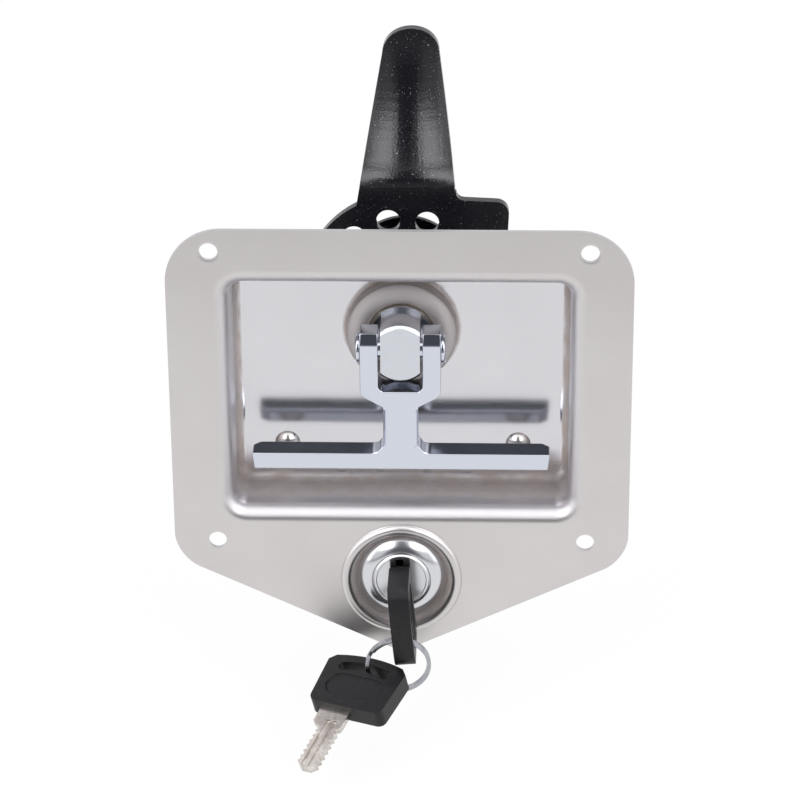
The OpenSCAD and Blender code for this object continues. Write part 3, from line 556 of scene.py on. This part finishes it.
def bezel():
    """Round-fronted bezel with its bore and the threaded barrel behind it."""
    bm = bmesh.new()
    front = plug_face - 0.3
    bore = plug_r + 0.05
    front_tilt = 12.0
    tilt = math.radians(front_tilt)
    centre = (bore + 0.35 - bezel_round * math.sin(tilt), front - bezel_round * math.cos(tilt))
    low = math.degrees(math.acos((bezel_r - centre[0]) / bezel_round))
    thread_top = dish_front - sheet - 5.0
    turns = 14
    pitch = (thread_top - body_back - 1.5) / turns
    crest_and_root = (body_r, body_r - 0.55)
    thread = [(crest_and_root[i % 2], thread_top - pitch * i / 2) for i in range(2 * turns + 1)]
    skirt = [(bezel_r, dish_front + 0.9), (bezel_r - 0.15, dish_front), (body_r, dish_front)]
    profile = ([(bore, body_back), (bore, front - 0.3), (bore + 0.3, front)]
               + arc(centre, bezel_round, 90 - front_tilt, low, 14)
               + skirt + thread
               + [(body_r - 0.6, body_back), (bore, body_back)])
    revolved(bm, profile)
    return finish_piece(bm, "lock_bezel", "plate", lock_chrome, ON_LOCK, ["lock_body"])


# Split ring

def split_ring():
    """Two turns of flat wire: one turn, a step across, and the second turn."""
    bm = bmesh.new()
    half_w = ring_wire_w / 2
    low = -ring_wire_t
    corners = [(-half_w, low), (half_w, low), (half_w, low + ring_wire_t), (-half_w, low + ring_wire_t)]
    verts = [bm.verts.new((ring_mid_r + x, 0.0, z)) for x, z in corners]
    bm.faces.new(verts)
    bmesh.ops.bevel(bm, geom=verts, offset=0.2, segments=2, profile=0.5, affect="VERTICES", material=-1)
    start = math.radians(100)
    bmesh.ops.rotate(bm, verts=bm.verts, matrix=Matrix.Rotation(start, 3, "Z"))
    ends = list(bm.faces) + list(bm.edges) + list(bm.verts)
    step_angle = math.radians(24)
    turns = ((math.tau - step_angle, 90, 0.0), (step_angle, 8, ring_wire_t / 8),
             (math.tau - step_angle * 1.5, 88, 0.0))
    for angle, steps, rise in turns:
        made = bmesh.ops.spin(bm, geom=ends, axis=(0, 0, 1), cent=(0, 0, 0), angle=angle, steps=steps,
                              dvec=(0, 0, rise))
        ends = made["geom_last"]
    bmesh.ops.recalc_face_normals(bm, faces=bm.faces)
    return finish_piece(bm, "split_ring", "ring", ring_steel, RING_PLACE, ["key_ring"])


# Keys

def head_rim():
    """Outline of a key head: straight sides, round corners and a wide arc along the far end."""
    half = head_w / 2
    foot_r = 2.4
    foot_in = 1.0
    shoulder = (half - 0.1 - blade_off, head_l - 3.6)
    swing = math.degrees(math.asin((half - 2.0) / top_arc_r))
    top = arc((-blade_off, head_l - top_arc_r), top_arc_r, 90 - swing, 90 + swing, 14)
    right = arc((half - foot_in - foot_r - blade_off, foot_r), foot_r, -90, 0, 5) + [shoulder]
    left = [(-2 * blade_off - x, y) for x, y in reversed(right)]
    return right + top + left


def head_slot():
    """Outline of the curved slot for the ring."""
    centre = (-blade_off, slot_mid - slot_arc_r)
    swing = math.degrees(math.asin(slot_reach / slot_arc_r))
    ends = [arc(centre, slot_arc_r, 90 + side * swing, 90 + side * swing, 1)[0] for side in (1, -1)]
    return (arc(centre, slot_arc_r + slot_w / 2, 90 - swing, 90 + swing, 12)
            + arc(ends[0], slot_w / 2, 90 + swing, 270 + swing, 8)[1:-1]
            + arc(centre, slot_arc_r - slot_w / 2, 90 + swing, 90 - swing, 12)
            + arc(ends[1], slot_w / 2, 270 - swing, 450 - swing, 8)[1:-1])


def moulded_head(name, body, node, place):
    """Key head with round edges, its slot and a bare oval recess on both sides."""
    bm = bmesh.new()
    rims, slots = [], []
    for side in (1, -1):
        height = side * head_t / 2
        middle = (-blade_off, head_l * 0.4)
        rims.append(outline(bm, head_rim(), height))
        slots.append(outline(bm, head_slot(), height))
        mouth = loop(bm, recess_r, height, (recess_reach, 0.0), middle, 48)
        bottom = loop(bm, recess_r - 0.25, height - side * recess_depth, (recess_reach, 0.0), middle, 48)
        border = [e for row in (rims[-1], slots[-1], mouth) for e in edges_of(row)]
        bmesh.ops.triangle_fill(bm, edges=border, use_beauty=True)
        join(bm, mouth, bottom)
        bm.faces.new(bottom)
    join(bm, *rims)
    join(bm, *slots)
    bmesh.ops.recalc_face_normals(bm, faces=bm.faces)
    soften_edges(bm, 0.45, 3, 50.0)
    return finish_piece(bm, name, body, black_plastic, place, [node], sharp=35.0)


def cut_teeth(edge, inward, top, count, pitch, turn):
    """A row of worn key cuts down one edge, each with its own depth."""
    points = []
    least_cut = 0.35
    more_cut = 0.6
    for i in range(count):
        depth = inward * (least_cut + more_cut * abs(math.sin(turn * (i + 1))))
        y = top - i * pitch
        points += [(edge, y), (edge - depth, y - pitch * 0.35), (edge - depth, y - pitch * 0.55),
                   (edge, y - pitch * 0.9)]
    return points


def cut_blade(name, body, node, place):
    """Flat key blade with a wide shank, cut edges and two milled grooves on both faces."""
    bm = bmesh.new()
    edge = blade_half - 0.25
    teeth = cut_teeth(edge, 1.0, -shank_l - 1.4, 7, 2.1, 2.3)
    far_teeth = cut_teeth(-edge, -1.0, -shank_l - 1.0, 7, 2.2, 1.7)
    shank = [(-blade_half, -shank_l + 0.2), (-blade_half, stub), (blade_half + shank_up, stub),
             (blade_half + shank_up, -shank_l), (blade_half + 0.9, -shank_l - 0.9)]
    tip = [(edge - 2.2, -blade_l), (1.8 - edge, -blade_l)]
    bm.faces.new(outline(bm, shank + teeth + tip + far_teeth[::-1], blade_t / 2))
    grooves = [(-1.75, -0.55), (0.65, 1.75)]
    groove_depth = 0.7
    first = -shank_l + 1.4
    last = -blade_l + 0.9
    cuts = [((x, 0, 0), (1, 0, 0)) for pair in grooves for x in pair]
    cuts += [((0, y, 0), (0, 1, 0)) for y in (first, last)]
    for point, normal in cuts:
        whole = bm.faces[:] + bm.edges[:] + bm.verts[:]
        bmesh.ops.bisect_plane(bm, geom=whole, plane_co=point, plane_no=normal, dist=0.0001)
    for low, high in grooves:
        strip = [f for f in bm.faces if low < f.calc_center_median().x < high
                 and last < f.calc_center_median().y < first]
        sunk = bmesh.ops.extrude_face_region(bm, geom=strip)["geom"]
        bmesh.ops.delete(bm, geom=strip, context="FACES_ONLY")
        floor = [g for g in sunk if isinstance(g, bmesh.types.BMVert)]
        bmesh.ops.translate(bm, vec=(0, 0, -groove_depth), verts=floor)
    rim = [e for e in bm.edges if e.is_boundary]
    walls = bmesh.ops.extrude_edge_only(bm, edges=rim)["geom"]
    for v in walls:
        if isinstance(v, bmesh.types.BMVert):
            v.co.z = 0.0
    bmesh.ops.mirror(bm, geom=bm.faces[:] + bm.edges[:] + bm.verts[:], axis="Z", merge_dist=0.001)
    bmesh.ops.recalc_face_normals(bm, faces=bm.faces)
    soften_edges(bm, 0.1, 2, 40.0)
    return finish_piece(bm, name, body, nickel, place, [node], sharp=30.0)


# Cam

def finger_tilt(up):
    """Lean of the finger's face, in degrees, at a height over its crease."""
    for (low, a), (high, b) in zip(lean_stops, lean_stops[1:]):
        if up <= high:
            return a + (b - a) * (up - low) / (high - low)
    return lean_stops[-1][1]


def finger_set_back(up, steps=40):
    """How far the finger's face lies behind the solid's, from the soft crease to a height over it."""
    total = 0.0
    for i in range(steps):
        at = up * (i + 0.5) / steps
        solid = math.asin(max(upright_over - at, 0.0) / lean_r)
        total += (math.tan(math.radians(finger_tilt(at))) - math.tan(solid)) * up / steps
    return total


def coated_cam():
    """The cam with its finger crowned across and its crease drawn in softly."""
    bm = solid_copy("cam_plate")
    soften_edges(bm, 0.5, 3)
    crease = spindle_z + finger_root
    length = spindle_z + finger_h - crease
    cuts = [((x, 0, 0), (1, 0, 0)) for x in range(-14, 17, 2)]
    cuts += [((0, 0, crease + u), (0, 0, 1)) for u in list(range(8)) + list(range(10, int(length), 3))]
    for point, normal in cuts:
        finger = [f for f in bm.faces if f.calc_center_median().z > crease - 0.5]
        edges = list({e for f in finger for e in f.edges})
        verts = list({v for f in finger for v in f.verts})
        bmesh.ops.bisect_plane(bm, geom=finger + edges + verts, plane_co=point, plane_no=normal,
                               dist=0.0001)
    for v in bm.verts:
        up = v.co.z - crease
        if up > 0:
            across = v.co.x - finger_mid
            tighter = [r - math.sqrt(r * r - across * across) for r in (crown_r, finger_turn_r)]
            v.co.y += (tighter[0] - tighter[1]) * min(up / crown_start, 1.0)
            v.co.y += finger_set_back(up)
            v.co.z -= tip_drop * up / length
    bmesh.ops.scale(bm, vec=(MM, MM, MM), verts=bm.verts)
    return finish_piece(bm, "coated_cam", "turning_stack", black_coat,
                        stands_for=["cam_plate"])


face_plate()
bezel()
split_ring()
rounded_copy("t_handle", "cast_t_handle", "handle", bright_chrome, 0.35,
             sharp=18.0, round_over=18.0, clamped=False)
rounded_copy("spindle", "turned_spindle", "turning_stack", worn_chrome, 0.3)
rounded_copy("hinge_pin", "headed_hinge_pin", "handle", bright_chrome, 0.2)
coated_cam()
rounded_copy("end_washer", "coated_end_washer", "turning_stack", black_coat, 0.3)
moulded_head("moulded_key_head", "plug", "key_head", KEY_PLACE)
moulded_head("moulded_spare_head", "spare", "spare_head", SPARE_PLACE)
cut_blade("cut_key_blade", "plug", "key_blade", KEY_PLACE)
cut_blade("cut_spare_blade", "spare", "spare_blade", SPARE_PLACE)

carried_finishes = {
    "spindle_bushing": bronze, "thrust_sleeve": zinc, "notched_ring": dark_steel, "spacer_sleeve": zinc,
    "drive_plate": dark_steel, "drive_pin": zinc, "disc_springs": dark_steel, "spindle_nut": zinc,
    "guide_strap": zinc, "rivet_left": rivet_steel, "rivet_right": rivet_steel, "lock_bar": zinc,
    "lock_nut": zinc, "lock_plug": lock_chrome, "lock_crank": zinc,
    "crank_screw": zinc}
for node, finish in carried_finishes.items():
    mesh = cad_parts[node].data
    mesh.materials.clear()
    mesh.materials.append(finish)


# Studio

def studio_floor():
    """A wide pale floor just under the lowest key, white to the eye and, close by, in reflections."""
    bm = bmesh.new()
    bmesh.ops.create_grid(bm, x_segments=1, y_segments=1, size=4.0)
    mesh = bpy.data.meshes.new("studio_floor")
    bm.to_mesh(mesh)
    bm.free()
    floor = bpy.data.objects.new("studio_floor", mesh)
    floor.location.z = cad_box[0].z - 0.012
    bpy.context.scene.collection.objects.link(floor)
    material = bpy.data.materials.new("pale_floor")
    material.use_nodes = True
    tree = material.node_tree
    paper = next(n for n in tree.nodes if n.type == "BSDF_PRINCIPLED")
    paper.inputs["Base Color"].default_value = (0.86, 0.86, 0.87, 1.0)
    paper.inputs["Roughness"].default_value = 0.9
    seen = add(tree, "ShaderNodeLightPath").outputs
    place = axes(tree, add(tree, "ShaderNodeTexCoord").outputs["Object"])
    near = spread(tree, place["Y"], -0.72, -0.40, 0.12, 1.0)
    strength = math_node(tree, "MAXIMUM", seen["Is Camera Ray"], near)
    glow = add(tree, "ShaderNodeEmission", {"Color": (1.0, 1.0, 1.0, 1.0), "Strength": strength})
    either = math_node(tree, "MAXIMUM", seen["Is Camera Ray"], seen["Is Glossy Ray"])
    share = math_node(tree, "MULTIPLY", either, 0.9)
    both = add(tree, "ShaderNodeMixShader", {0: share, 1: paper.outputs[0], 2: glow.outputs[0]})
    output = next(n for n in tree.nodes if n.type == "OUTPUT_MATERIAL")
    tree.links.new(both.outputs[0], output.inputs["Surface"])
    mesh.materials.append(material)


def studio_world():
    """White all round, with two soft lamps ahead and the dim gap between them as the metal sees it."""
    world = bpy.data.worlds.new("studio")
    bpy.context.scene.world = world
    world.use_nodes = True
    tree = world.node_tree
    toward = axes(tree, add(tree, "ShaderNodeTexCoord").outputs["Generated"])
    ahead = spread(tree, toward["Y"], -0.05, -0.35, 0.0, 1.0)
    side = math_node(tree, "ABSOLUTE", toward["X"])
    wide = math_node(tree, "ADD", side, math_node(tree, "MULTIPLY", toward["Z"], 0.36))
    between = math_node(tree, "MULTIPLY", ahead, spread(tree, wide, 0.30, 0.50, 1.0, 0.0))
    gap = math_node(tree, "MULTIPLY", between, window(tree, toward["Z"], -0.04, 0.05, 0.72, 0.88))
    shade = mix(tree, gap, (0.80, 0.81, 0.83), (0.08, 0.083, 0.095))
    across = math_node(tree, "MULTIPLY", ahead, window(tree, side, 0.20, 0.34, 0.55, 0.78))
    lamps = math_node(tree, "MULTIPLY", across, window(tree, toward["Z"], 0.30, 0.50, 0.68, 0.82))
    lit = mix(tree, lamps, shade, (5.2, 5.1, 5.2))
    seen = add(tree, "ShaderNodeLightPath").outputs["Is Camera Ray"]
    tone = mix(tree, seen, lit, (1.0, 1.0, 1.0))
    background = next(n for n in tree.nodes if n.type == "BACKGROUND")
    tree.links.new(tone, background.inputs["Color"])
    background.inputs["Strength"].default_value = 1.0


def softbox(name, place, aim, size, power):
    """A square lamp that faces a point."""
    lamp = bpy.data.lights.new(name, "AREA")
    lamp.shape = "RECTANGLE"
    lamp.size, lamp.size_y = size
    lamp.energy = power
    holder = bpy.data.objects.new(name, lamp)
    holder.location = place
    holder.rotation_euler = (Vector(aim) - Vector(place)).to_track_quat("-Z", "Y").to_euler()
    bpy.context.scene.collection.objects.link(holder)


def photo_camera():
    """The photograph's viewpoint, found from the flange corners and holes."""
    elevation = 26.0
    azimuth = 1.963
    distance = 1.0229
    roll = 0.452
    focal_share = 3379.5 / 800.0
    target = Vector((-0.025, -1.5, 0.08)) * MM
    a, e = math.radians(azimuth), math.radians(elevation)
    back = Vector((math.sin(a) * math.cos(e), -math.cos(a) * math.cos(e), math.sin(e)))
    data = bpy.data.cameras.new("photo_camera")
    data.sensor_width = 36.0
    data.lens = focal_share * data.sensor_width
    data.clip_start = 0.01
    camera = bpy.data.objects.new("photo_camera", data)
    camera.location = target + back * distance
    aim = (-back).to_track_quat("-Z", "Y").to_matrix().to_4x4()
    camera.rotation_euler = (aim @ Matrix.Rotation(math.radians(-roll), 4, "Z")).to_euler()
    bpy.context.scene.collection.objects.link(camera)
    bpy.context.scene.camera = camera


studio_floor()
studio_world()
softbox("overhead", (0.0, -0.25, 1.1), (0.0, 0.0, 0.0), (1.5, 1.1), 4.0)
softbox("left", (-1.1, -0.5, 0.35), (0.0, 0.0, 0.0), (0.7, 0.9), 2.0)
softbox("right", (1.1, -0.5, 0.35), (0.0, 0.0, 0.0), (0.7, 0.9), 2.0)
photo_camera()
bpy.context.scene.view_settings.view_transform = "Standard"
